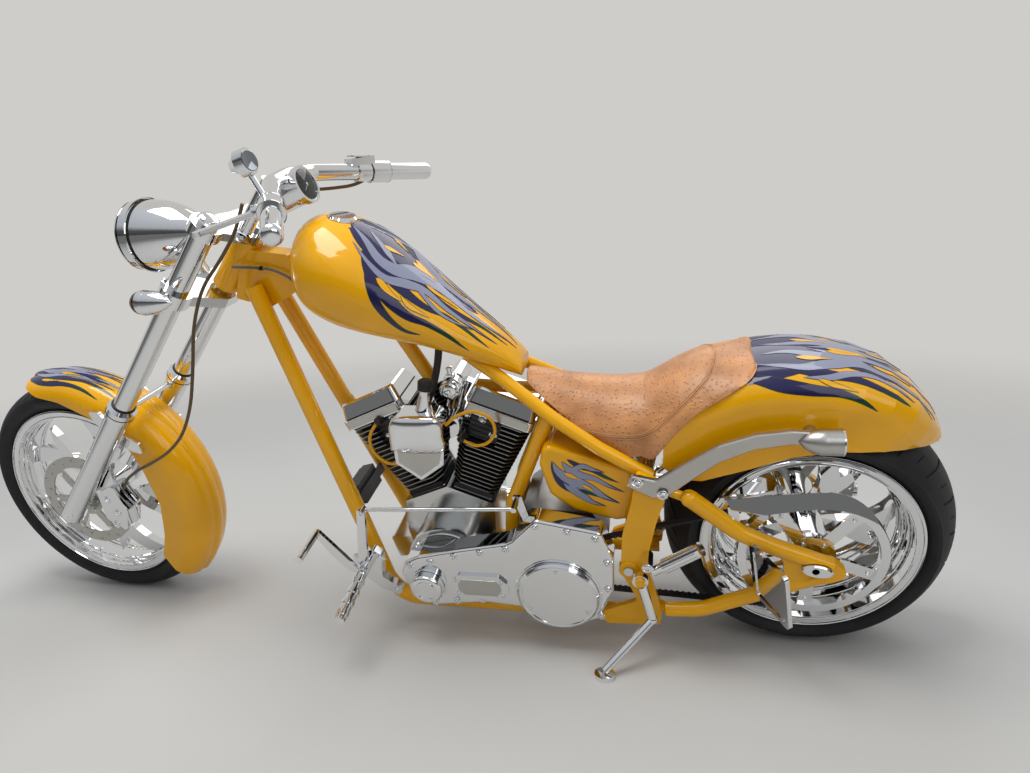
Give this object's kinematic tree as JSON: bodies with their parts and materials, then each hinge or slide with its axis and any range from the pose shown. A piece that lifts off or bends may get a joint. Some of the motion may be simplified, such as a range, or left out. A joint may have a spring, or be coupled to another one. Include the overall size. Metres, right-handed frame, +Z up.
{
  "type": "chopper motorcycle",
  "caption": "Long-fork custom chopper with deep yellow paint, pullback bars, low solo seat, air-cooled vee engine, wide rear tyre and belt drive, leaning on its side stand.",
  "frame": {"origin": "on the road under the middle of the whole machine's box, in its parked pose", "axes": "nose towards -X, tail towards +X, the machine's left side towards -Y, +Z up from the road"},
  "size_m": [2.6846, 0.9881, 1.2493],
  "materials": {
    "yellow_paint": "deep golden yellow under high-gloss clear coat",
    "chrome": "bright chrome plate",
    "cast_aluminium": "polished and satin castings",
    "black_fins": "satin black with bright fin edges",
    "black_anodised": "black anodised",
    "rotor_steel": "ground steel",
    "tyre": "road tyre rubber",
    "ostrich_leather": "tan leather with quill bumps",
    "belt_rubber": "toothed belt rubber",
    "hose": "black sleeve",
    "plug_lead": "yellow silicone sleeve"
  },
  "bodies": {
    "chassis": {"frame_backbone": "yellow_paint", "frame_downtubes": "yellow_paint", "seat_rails": "yellow_paint", "side_plates": "yellow_paint", "swingarm": "yellow_paint", "swingarm_pivot": "cast_aluminium", "rear_axle": "chrome", "tank": "yellow_paint", "fuel_cap": "chrome", "oil_tank": "yellow_paint", "seat": "ostrich_leather", "rear_fender": "yellow_paint", "fender_struts": "chrome", "crankcase": "cast_aluminium", "cylinder_front": "black_fins", "cylinder_rear": "black_fins", "rocker_box_front": "chrome", "rocker_box_rear": "chrome", "coil_cover": "chrome", "plug_leads": "plug_lead", "air_cleaner": "chrome", "cam_cover": "chrome", "primary_cover": "chrome", "derby_cover": "chrome", "transmission": "cast_aluminium", "exhaust_pipes": "chrome", "exhaust_tips": "chrome", "regulator": "black_anodised", "left_foot_control": "chrome", "right_foot_control": "chrome", "passenger_pegs": "chrome", "plate_holder": "chrome", "belt_guard": "chrome", "drive_belt": "belt_rubber", "rear_caliper": "chrome", "clutch_cable": "hose", "breather_hose": "hose"},
    "steering": {"fork_leg_left": "chrome", "fork_leg_right": "chrome", "front_axle": "chrome", "lower_tree": "chrome", "upper_tree": "chrome", "headlight": "chrome", "handlebar": "chrome", "left_hand_control": "chrome", "right_hand_control": "chrome", "throttle_cable": "hose", "front_signals": "chrome", "front_fender": "yellow_paint", "fender_brace": "chrome", "front_caliper": "chrome", "brake_hose": "hose"},
    "front_wheel": {"front_tyre": "tyre", "front_wheel": "chrome", "front_rotor": "rotor_steel"},
    "rear_wheel": {"rear_tyre": "tyre", "rear_wheel": "chrome", "rear_pulley": "chrome", "rear_rotor": "rotor_steel"},
    "side_stand": {"side_stand": "chrome"}
  },
  "joints": [
    {"name": "steering_turn", "type": "hinge", "parent": "chassis", "child": "steering", "pos_m": [-0.32223, -0.06539, 1.00509], "axis": [0.6623, -0.1939, 0.7237], "range_deg": [-26.3, 33.7]},
    {"name": "front_wheel_spin", "type": "hinge", "parent": "steering", "child": "front_wheel", "pos_m": [-0.99063, 0.11458, 0.3454], "axis": [0.0483, 0.975, 0.217], "continuous": true},
    {"name": "rear_wheel_spin", "type": "hinge", "parent": "chassis", "child": "rear_wheel", "pos_m": [1.01231, 0.11706, 0.32421], "axis": [0, 0.9659, 0.2588], "continuous": true},
    {"name": "side_stand_fold", "type": "hinge", "parent": "chassis", "child": "side_stand", "pos_m": [0.62833, -0.0509, 0.21692], "axis": [0, -0.9659, -0.2588], "range_deg": [0, 80]}
  ]
}
